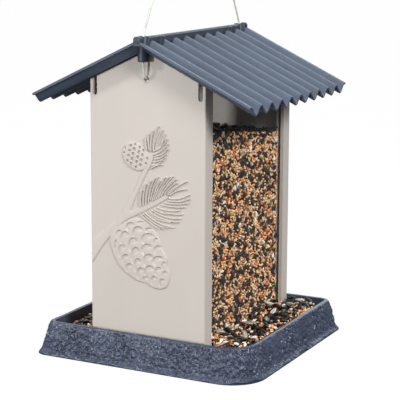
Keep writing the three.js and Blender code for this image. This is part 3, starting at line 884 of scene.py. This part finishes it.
def gabled_panel():
    """The panel's section raised and cut to the two slopes of the gable."""
    foot, top = PANEL_LOW[2], PANEL_HIGH[2]
    build = bmesh.new()
    prism(build, panel_outline(), foot, top + 20)
    for side in (-1, 1):
        whole = build.verts[:] + build.edges[:] + build.faces[:]
        normal = Vector((side * PITCH, 0, 1)).normalized()
        split = bmesh.ops.bisect_plane(
            build, geom=whole, plane_co=(0, 0, top), plane_no=normal, clear_outer=True, dist=1e-5
        )
        edges = [item for item in split["geom_cut"] if isinstance(item, bmesh.types.BMEdge)]
        bmesh.ops.holes_fill(build, edges=edges)
    return from_bmesh("panel_shell", build)


def panel_shell():
    """The panel without its relief, slotted at both eaves and bored for the cable."""
    above, notch_bottom, hole_radius = PANEL_HIGH[2] + 30, 248, 2.4
    tools, notches = bmesh.new(), bmesh.new()
    for x in (-SLOT_X, SLOT_X):
        rib = math.copysign(SLOT_X - 2.7, x)
        notch = block(rib - 1.2, rib + 1.2, notch_bottom, above)
        prism(notches, notch, -INNER_FACE, -INNER_FACE + 10.2, "y")
        ends = [turned(-SLOT_HALF, 0, math.radians(15 * i)) for i in range(13)]
        slot = [(x + u, SLOT_BOTTOM + v) for u, v in ends]
        slot += [(x + SLOT_HALF, above), (x - SLOT_HALF, above)]
        prism(tools, slot, -FACE - 5, -INNER_FACE + 0.2, "y")
    drill(tools, (0, -FACE, HOLE_HEIGHT), hole_radius, 5, 32, "y")
    slotted = cut(gabled_panel(), from_bmesh("panel_tools", tools))
    return cut(slotted, from_bmesh("panel_notches", notches))


def panel_fittings():
    """The foot ledge, the screw bosses, the ring that the moulding gate leaves inside, the hole's lip."""
    foot, inner = PANEL_LOW[2], -INNER_FACE
    build = bmesh.new()
    prism(build, block(-50, 50, inner - 0.4, inner + 11), foot, foot + WALL)
    boss = [(1.8, 0), (4.2, 0), (4.2, 11.6), (3.8, 12), (1.8, 12), (1.8, 0)]
    for x in (-SCREW_X, SCREW_X):
        lathe(build, boss, (x, -SCREW_Y, foot), 28)
        rib = block(x - 0.8, x + 0.8, -SCREW_Y - 3.6, inner - 0.3)
        prism(build, rib, foot + WALL - 0.2, foot + 10)
    ring = [(7.9, -0.3), (9.1, -0.3), (9, 0.45), (8, 0.45), (7.9, -0.3)]
    lathe(build, ring, (-16, inner, 210), 48, "y")
    lip = [(2.35, 0.3), (2.4, -0.2), (2.7, -0.38), (3.1, -0.35), (3.5, 0.2)]
    lathe(build, lip, (0, -FACE, HOLE_HEIGHT), 40, "y")
    return from_bmesh("panel_fittings", build)


def build_panels():
    """The front panel and its relief, and the same two meshes turned round for the rear."""
    shell = joined("panel_body", [panel_shell(), panel_fittings()])
    shade(shell, 30)
    front = (shell, relief_sheet())
    rear = [mesh.copy() for mesh in front]
    for mesh in rear:
        mesh.transform(Matrix.Rotation(math.pi, 4, "Z"))
    for end, (body, sprig) in (("front", front), ("rear", rear)):
        node = f"end_panel_{end}"
        soften(add_piece(f"panel_body_{end}", body, "panel", "root", node), 0.45, 3, 50)
        add_piece(f"pine_relief_{end}", sprig, "panel", "root")


# ---- tray

# Inset from the foot, full and tight corner radius, height: up the skirt, over the rim and down inside.
SKIRT_RINGS = [
    (0.3, 34.9, 11.9, 0), (0.1, 35, 12, 0.3), (0.2, 34.8, 11.8, 1.2), (1.2, 34, 11.4, 2.4),
    (2.8, 32.8, 11, 4), (3.9, 32, 10.6, 5.8), (4.7, 31.2, 10.3, 9), (5.4, 30.5, 10, 12.5),
    (6.2, 30, 9.8, 16), (7, 29.5, 9.6, 20), (8.1, 28.7, 9.4, 24.5), (9.2, 28, 9.2, 28.6),
    (9.9, 27.4, 9, 30.2), (10.7, 26.8, 8.5, 31.2), (11.7, 26, 7.8, 31.6),
]
RIM_RINGS = [
    (11.7, 26, 7.8, 31.6), (13.4, 24.2, 6.5, 31.6), (14, 23.6, 6, 31.3), (14.3, 23.3, 5.8, 30.4),
    (14.6, 23, 5.6, 27), (16.2, 21.5, 5, 11.5), (16.8, 20.8, 4.8, 9.6), (18.6, 19, 4, 8.9),
]
UNDER_RINGS = [
    (18.6, 19, 4, 6.7), (14.8, 22.4, 5, 7.2), (12.9, 24.6, 6.4, 25), (11.4, 26, 7.8, 25),
    (8.6, 28, 8, 12.5), (7, 30, 9, 5.4), (2.8, 32.6, 10, 0.1), (0.3, 34.9, 11.9, 0),
]


def ring_at(inset, full, tight):
    """Points round the tray at one height, and the outward direction at each."""
    half_x, half_y = TRAY_HIGH[0] - inset, TRAY_HIGH[1] - inset
    corners = ((1, 1, tight), (-1, 1, full), (-1, -1, tight), (1, -1, full))
    path = []
    for number, (sx, sy, radius) in enumerate(corners):
        for turn in math.pi / 2 * (number + np.arange(25) / 24):
            x, y = sx * (half_x - radius), sy * (half_y - radius)
            path.append((x + radius * math.cos(turn), y + radius * math.sin(turn), turn))
    return np.array([*path, (*path[0][:2], 2 * math.pi)])


def loft(rings, columns):
    """Points and outward directions, ring by ring, on stations that run straight up the tray."""
    base = ring_at(*rings[0][:3])
    steps = np.hypot(*np.diff(base[:, :2], axis=0).T)
    along = np.concatenate([[0], np.cumsum(steps)])
    stations = np.linspace(0, along[-1], columns, endpoint=False)
    surface = []
    for ring in rings:
        path = ring_at(*ring[:3])
        x, y, turn = (np.interp(stations, along, path[:, k]) for k in range(3))
        surface.append(np.stack([x, y, np.full(columns, ring[3]), np.cos(turn), np.sin(turn)], 1))
    return np.array(surface)


def refine_rings(rings, spacing):
    """More rings along the same profile, about spacing apart."""
    rings = np.array(rings)
    steps = np.hypot(np.diff(rings[:, 0]), np.diff(rings[:, 3]))
    along = np.concatenate([[0], np.cumsum(steps)])
    at = np.linspace(0, along[-1], int(along[-1] / spacing) + 1)
    return np.stack([np.interp(at, along, rings[:, k]) for k in range(4)], 1)


def stone_grain(rows, columns, spacing):
    """Rough split-stone relief in millimetres: plateaus, pits with steep upper edges and fine grit."""
    sizes = ((1.5, 1.2), (0.9, 0.7), (6, 9), (0.38, 0.36))
    lumps, pits, broad, grit = (
        blurred_noise((rows, columns), (high / spacing, wide / spacing), 11 + number)
        for number, (high, wide) in enumerate(sizes)
    )
    hollow = ease(pits + 0.35 * broad, 0.4, 1.1)
    rough = (0.6 * np.tanh(1.3 * lumps) - 1.15 * hollow) * (0.75 + 0.25 * np.tanh(broad))
    return rough + 0.12 * broad + 0.15 * grit


def skirt_points():
    """The tray's stone-textured skirt, from the foot up to the rim, as a grid of points."""
    spacing = 0.5
    surface = loft(refine_rings(SKIRT_RINGS, spacing), int(4 * (TRAY_HIGH[0] + TRAY_HIGH[1]) / spacing))
    rows, columns = surface.shape[:2]
    wander, ripple, rim_wave = (
        blurred_noise((4, columns), (0.01, size / spacing), seed)[0]
        for size, seed in ((7, 15), (2.4, 16), (3, 17))
    )
    height = surface[..., 2]
    near_foot = 1 - ease(height, 1.5, 9)
    push = stone_grain(rows * 2, columns, spacing)[:rows]
    push = push * ease(height, 0.3, 3.5) * (1 - ease(height, 28.2, 31))
    push -= near_foot * (0.55 + 0.45 * wander + 0.25 * ripple).clip(0, 2)
    points = surface[..., :3].copy()
    points[..., :2] += push[..., None] * surface[..., 3:]
    points[..., 2] += near_foot * (0.4 * wander + 0.3 * ripple).clip(0, 1.4)
    points[..., 2] += 0.12 * rim_wave * ease(height, 28, 31) * (1 - ease(height, 31.2, 31.6))
    return points


def tray_floor():
    """The floor plate with its drain holes and screw holes."""
    build, tools = bmesh.new(), bmesh.new()
    path = ring_at(17.8, 19.8, 4.4)[:-1]
    prism(build, [(x, y) for x, y, _ in path], 6.6, TRAY_FLOOR)
    bmesh.ops.remove_doubles(build, verts=build.verts, dist=1e-4)
    holes = [(x, y, 2.2) for x in (-84, -42, 42, 84) for y in (-36, 36)]
    holes += [(x, y, 2.1) for x in (-SCREW_X, SCREW_X) for y in (-SCREW_Y, SCREW_Y)]
    for x, y, radius in holes:
        drill(tools, (x, y, 6), radius, 6, 20)
    return cut(from_bmesh("tray_floor", build), from_bmesh("tray_holes", tools))


def add_lofted(name, points, look, node=None):
    faces = quads(*points.shape[:2], wrap=True)
    mesh = grid_mesh(name, points[..., :3].reshape(-1, 3), faces)
    shade(mesh, 70 if node else 50)
    add_piece(name, mesh, look, "root", node)


def build_tray():
    add_lofted("tray_skirt", skirt_points(), "tray", "base_tray")
    add_lofted("tray_rim", loft(refine_rings(RIM_RINGS, 1.2), 420), "inside")
    add_lofted("tray_underside", loft(UNDER_RINGS, 420), "inside")
    floor = tray_floor()
    shade(floor, 30)
    soften(add_piece("tray_floor", floor, "inside", "root"), 0.3, 2, 60)


# ---- seed

# Length, width and thickness in millimetres, sharpness of the tip, and colours.
SEEDS = {
    "sunflower": (10.2, 5.2, 3.5, 0.55, [(22, 17, 16), (31, 25, 23), (15, 12, 11)]),
    "striped": (12.5, 5.2, 3.4, 0.5, [(222, 218, 208), (190, 182, 168)]),
    "millet": (2.5, 2.2, 2, 0.1, [(255, 202, 142), (255, 218, 172), (242, 176, 112), (255, 208, 152)]),
    "canary": (4.4, 1.9, 1.6, 0.3, [(250, 202, 148), (255, 228, 192), (232, 176, 120)]),
    "orange_millet": (2.7, 2.3, 2, 0.1, [(242, 136, 62), (224, 104, 38)]),
    "milo": (3.6, 3.2, 2.6, 0.15, [(198, 96, 42), (168, 76, 36)]),
    "safflower": (6.2, 3.4, 3, 0.45, [(240, 236, 226), (226, 220, 208)]),
    "dark_millet": (2.4, 2, 1.8, 0.1, [(60, 44, 38), (84, 56, 42)]),
}

# Shares of the kinds by number, in the same order.
WINDOW_MIX = (0.15, 0.004, 0.44, 0.2, 0.09, 0.02, 0.02, 0.08)
TRAY_MIX = (0.105, 0.014, 0.44, 0.26, 0.08, 0.02, 0.036, 0.05)

CELL = 0.6  # grid on which the seeds settle
BIG_SEED = 5.0  # length above which a seed has a finer mesh
FILL_TOP = 224.0
FILL_EDGE = 54.4
COVER = 0.93  # share of the bed's cells that the seeds hide


def seed_shape(kind):
    """Points, triangles and stripe number of one seed lying on its flat side, long axis along x."""
    length, width, thickness, tip = SEEDS[kind][:4]
    rings, sides = (7, 10) if length > BIG_SEED else (4, 6)
    along = -np.cos(math.pi * np.arange(1, rings + 1) / (rings + 1))[:, None]
    swell = np.sqrt(1 - along * along) * (1 - tip * (0.5 + 0.5 * along)) * (1 + 0.45 * tip)
    stripe = np.arange(sides)
    turn = 2 * math.pi * stripe / sides
    x, y, z = along + 0 * turn, swell * np.cos(turn), swell * np.sin(turn)
    skin = (np.stack([x, y, z], -1) * (length / 2, width / 2, thickness / 2)).reshape(-1, 3)
    points = np.vstack([(-length / 2, 0, 0), skin, (length / 2, 0, 0)])
    near, last = quads(rings, sides, wrap=True) + 1, len(points) - 1
    after = np.roll(stripe, -1)
    faces = np.vstack([
        np.stack([0 * stripe, 1 + after, 1 + stripe], 1), near[:, [0, 1, 2]], near[:, [0, 2, 3]],
        np.stack([last - sides + stripe, last - sides + after, 0 * stripe + last], 1),
    ])
    return points, faces, np.concatenate([[0], np.tile(stripe, rings), [0]])


def footprint(kind, turn):
    """Cells under a seed turned on the bed, and how far its upper side is above its middle there."""
    length, width, thickness = SEEDS[kind][:3]
    reach = np.arange(-int(length / 2 / CELL) - 1, int(length / 2 / CELL) + 2)
    u, v = np.meshgrid(reach, reach, indexing="ij")
    along, across = turned(u, v, -turn)
    along, across = along * CELL / (length / 2), across * CELL / (width / 2)
    inside = along**2 + across**2 < 0.96
    swell = thickness / 2 * np.sqrt(1 - along[inside] ** 2 - across[inside] ** 2)
    return u[inside], v[inside], swell


def settle(seed, mix, bed, inside, allowed, cover, limit):
    """Seeds dropped one at a time on a bed until it is covered: (kind, row, column, middle level, turn).

    Each seed takes the lowest of a few random spots among the allowed cells. The cells that aren't inside
    are walls.
    """
    rng = np.random.default_rng(seed)
    kinds, shares = list(SEEDS), np.array(mix) / sum(mix)
    turns, tries, pad, wall = 16, 6, 16, 60.0
    prints = {(kind, t): footprint(kind, math.pi * t / turns) for kind in kinds for t in range(turns)}
    start, spots = bed, np.argwhere(allowed)
    bed = np.pad(np.where(inside, bed, bed + wall), pad, constant_values=2 * wall)
    placed = []
    for drop in range(limit):
        if drop % 200 == 0:
            risen = bed[pad:-pad, pad:-pad] - start
            if (risen[allowed] > 1.0).sum() > cover * len(spots):
                break
        kind = kinds[rng.choice(len(kinds), p=shares)]
        turn = int(rng.integers(turns))
        u, v, swell = prints[kind, turn]
        best = None
        for row, column in spots[rng.integers(len(spots), size=tries)]:
            level = (bed[u + row + pad, v + column + pad] + swell).max()
            if best is None or level < best[0]:
                best = (level, row, column)
        level, row, column = best
        if level > start[row, column] + wall / 2:
            continue
        cells = (u + row + pad, v + column + pad)
        bed[cells] = np.maximum(bed[cells], level + swell)
        placed.append((kind, row, column, level, math.pi * turn / turns))
    return placed


def one_seed(rng, kind, points, stripes, turn, lean):
    """A seed's points, sized and tilted at random round its middle, and its colours."""
    size = rng.uniform(0.85, 1.12)
    turn += math.pi * rng.integers(2)
    tilt = rng.normal(0, lean)
    roll = rng.uniform(0, 2 * math.pi) if len(points) < 30 else rng.normal(0, 0.3)
    shades = SEEDS[kind][4]
    colour = np.array(linear(*shades[rng.integers(len(shades))])) * rng.uniform(0.82, 1.15)
    x, y, z = (points * size).T
    y, z = turned(y, z, roll)
    x, z = turned(x, z, tilt)
    x, y = turned(x, y, turn)
    tint = np.repeat(colour[None, :], len(points), 0)
    if kind == "striped":
        tint[stripes % 2 == 1] *= 0.25
    elif kind == "sunflower":
        tint[stripes % 4 == 1] *= rng.uniform(1, 2.4)
    tint[:, 3] = 1
    return x, y, z, tint


def seed_meshes(name, seed, placed, to_drawing, lean=0.22):
    """One mesh of sunflower-sized seeds and one of small grains for a settled bed."""
    rng = np.random.default_rng(seed)
    shapes = {kind: seed_shape(kind) for kind in SEEDS}
    groups = {"sunflower": [], "grain": []}
    for kind, row, column, level, turn in placed:
        points, faces, stripes = shapes[kind]
        u, v, w, tint = one_seed(rng, kind, points, stripes, turn, lean)
        where = to_drawing(row * CELL + u, column * CELL + v, level + w)
        groups["sunflower" if SEEDS[kind][0] > BIG_SEED else "grain"].append((where, faces, tint))
    for key, seeds in groups.items():
        starts = np.cumsum([0] + [len(points) for points, _, _ in seeds])
        points = np.vstack([points for points, _, _ in seeds])
        faces = np.vstack([faces + start for (_, faces, _), start in zip(seeds, starts)])
        mesh = grid_mesh(f"{name}_{key}", points, faces)
        attribute = mesh.color_attributes.new("husk", "FLOAT_COLOR", "POINT")
        attribute.data.foreach_set("color", np.vstack([tint for _, _, tint in seeds]).ravel())
        mesh.polygons.foreach_set("use_smooth", np.ones(len(mesh.polygons), bool))
        add_piece(f"{name}_{key}", mesh, "husk", "root")


def fill_level(x, y):
    """Height of the seed in the hopper: it falls away to the rear panel and to the left window."""
    return FILL_TOP - 0.118 * (y + 70) - 0.26 * (FILL_EDGE - x)


def grid(low_u, low_v, rows, columns):
    """A column of u and a row of v, a cell apart."""
    return low_u + CELL * np.arange(rows)[:, None], low_v + CELL * np.arange(columns)[None, :]


def window_seed(side):
    """Seeds pressed against one window, from the tray up to the fill level."""
    low_y, bottom, edge = 1 - INNER_FACE, 15.0, side * FILL_EDGE
    rows, columns = int(-2 * low_y / CELL), int((fill_level(edge, low_y) - bottom) / CELL)
    y, z = grid(low_y, bottom, rows, columns)
    allowed = z < fill_level(edge, y) - 1.5
    placed = settle(21 + side, WINDOW_MIX, np.zeros((rows, columns)), True, allowed, COVER, 5200)
    plane = WINDOW_LOW[0] - 0.35

    def to_drawing(u, v, depth):
        return np.stack([side * (plane - depth), low_y + u, bottom + v], 1)

    seed_meshes(f"window_seed_{'right' if side > 0 else 'left'}", 31 + side, placed, to_drawing)


def tray_level(x, y, side):
    """Height of the seed in the tray: heaped at the window, thinner at the rim and towards the rear."""
    out = np.clip((x - 56) / 42, 0, 1)
    heap = 28.5 if side > 0 else 21.5
    return heap - 9 * out**0.8 - 9 * ease(y, -30, 85) - 1.2 * np.cos(y / 19)


def tray_seed(side):
    """The seed that has run out into the tray on one side."""
    low_x, high_x, half_y = 52.0, 98.0, 95.0
    x, y = grid(low_x, -half_y, int((high_x - low_x) / CELL), int(2 * half_y / CELL))
    radius = 20.0
    centre_x, centre_y = TRAY_HIGH[0] - 17.2 - radius, TRAY_HIGH[1] - 17.2 - radius
    corner = np.hypot(np.clip(x - centre_x, 0, None), np.clip(np.abs(y) - centre_y, 0, None))
    inside = (corner < radius - 0.6) & ((x > 64.2) | (np.abs(y) < 79))
    bed = np.maximum(tray_level(x, y, side) - 4, TRAY_FLOOR + 0.2)
    placed = settle(41 + side, TRAY_MIX, bed, inside, inside, COVER, 2600)

    def to_drawing(u, v, level):
        return np.stack([side * (low_x + u), -half_y + v, level], 1)

    seed_meshes(f"tray_seed_{'right' if side > 0 else 'left'}", 51 + side, placed, to_drawing, 0.3)


def top_seed():
    """The top of the fill inside the hopper."""
    half_x, half_y = WINDOW_LOW[0] - 1.0, INNER_FACE - 0.5
    x, y = grid(-half_x, -half_y, int(2 * half_x / CELL), int(2 * half_y / CELL))
    bed = fill_level(x, y) - 5
    placed = settle(61, WINDOW_MIX, bed, True, np.ones(bed.shape, bool), 0.9, 3600)

    def to_drawing(u, v, level):
        x, y = (u - half_x).clip(-half_x, half_x), (v - half_y).clip(-half_y, half_y)
        return np.stack([x, y, level], 1)

    seed_meshes("hopper_top_seed", 62, placed, to_drawing, 0.3)


def seed_core():
    """The body of seed behind the modelled layers, so that no gap shows an empty hopper."""
    build = bmesh.new()
    half_x, half_y = WINDOW_LOW[0] - 4.0, INNER_FACE - 1.0
    for vert in prism(build, block(-half_x, half_x, -half_y, half_y), 14, 100)[1].verts:
        vert.co.z = fill_level(vert.co.x, vert.co.y) - 6
    reach = FACE - 15
    for side in (-1, 1):
        spill = [(48, TRAY_FLOOR + 0.1), (92, TRAY_FLOOR + 0.1), (66, TRAY_FLOOR + 1), (48, 18)]
        prism(build, [(side * x, z) for x, z in spill], -reach, reach, "y")
    bmesh.ops.recalc_face_normals(build, faces=build.faces)
    add_piece("seed_core", from_bmesh("seed_core", build), "core", "root")


def build_seed():
    for side in (-1, 1):
        window_seed(side)
        tray_seed(side)
    top_seed()
    seed_core()


# ---- CAD nodes that stay


def dress_cad_nodes():
    looks = {
        "seed_deflector": "inside",
        **{f"window_{side}": "window" for side in ("left", "right")},
        **{f"cable_stop_{end}": "crimp" for end in ("front", "rear")},
        **{f"panel_screw_{number}": "steel" for number in range(1, 5)},
    }
    for node, look in looks.items():
        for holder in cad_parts[node].material_slots:
            holder.material = MATERIALS[look]


# ---- floor and light


def area_light(name, position, target, size, power, colour=(1, 1, 1)):
    data = bpy.data.lights.new(name, "AREA")
    data.shape = "RECTANGLE"
    data.size, data.size_y = size
    data.energy = power
    data.color = colour
    light = bpy.data.objects.new(name, data)
    light.location = position
    aim = Vector(target) - Vector(position)
    light.rotation_euler = aim.to_track_quat("-Z", "Y").to_euler()
    bpy.context.collection.objects.link(light)


def add_floor():
    """A plain white floor far below; it doesn't light the feeder, so the eaves stay dark underneath."""
    mesh = bpy.data.meshes.new("studio_floor")
    reach, level = 60.0, FOOT - 1.6
    corners = [(x, y, level) for x, y in block(-reach, reach, -reach, reach)]
    mesh.from_pydata(corners, [], [(0, 1, 2, 3)])
    glow = {"Emission_Color": (1, 1, 1, 1), "Emission_Strength": 0.6}
    shader = Shader("studio_floor", 1.0, Base_Color=(0.9, 0.9, 0.9, 1), **glow)
    floor = add_object("studio_floor", mesh, shader.material)
    floor.visible_diffuse = False
    floor.visible_glossy = False


def add_world(above, below):
    """Soft light from the whole sky, weaker from under the horizon; the camera sees plain white."""
    world = bpy.data.worlds.new("studio")
    world.use_nodes = True
    tree = world.node_tree
    direction = add_node(tree, "ShaderNodeTexCoord").outputs["Generated"]
    height = add_node(tree, "ShaderNodeSeparateXYZ", {"Vector": direction}).outputs["Z"]
    inputs = {"Value": height, "From Min": -0.25, "From Max": 0.3, "To Min": below, "To Max": above}
    sky = add_node(tree, "ShaderNodeMapRange", inputs).outputs["Result"]
    seen = add_node(tree, "ShaderNodeLightPath").outputs["Is Camera Ray"]
    strength = add_node(tree, "ShaderNodeMath", {0: seen, 1: 1.2, 2: sky}, operation="MULTIPLY_ADD")
    background = tree.nodes["Background"]
    plug(tree, background.inputs["Color"], (1, 1, 1, 1))
    plug(tree, background.inputs["Strength"], strength.outputs["Value"])
    bpy.context.scene.world = world


def add_stage():
    add_floor()
    add_world(above=0.44, below=0.16)
    middle = (0, 0, FOOT + 0.16)
    area_light("key", (-0.62, -1.8, FOOT + 0.36), middle, (0.14, 0.14), 15.5)
    area_light("side", (-0.9, -0.75, FOOT + 0.78), (0, 0, FOOT + 0.2), (0.14, 0.14), 6.5)
    area_light("fill", (1.5, -0.85, FOOT + 1.1), middle, (0.45, 0.45), 30)
    area_light("top", (0.1, 0.1, FOOT + 1.7), middle, (1.3, 1.3), 12)
    area_light("back_sweep", (-0.4, 2.6, FOOT + 1.5), middle, (3.2, 2.6), 55, (0.87, 0.94, 1))
    bpy.context.scene.view_settings.view_transform = "Standard"


# ---- assembly

add_camera()
build_cable()
build_roof()
build_panels()
build_tray()
build_seed()
dress_cad_nodes()
add_stage()
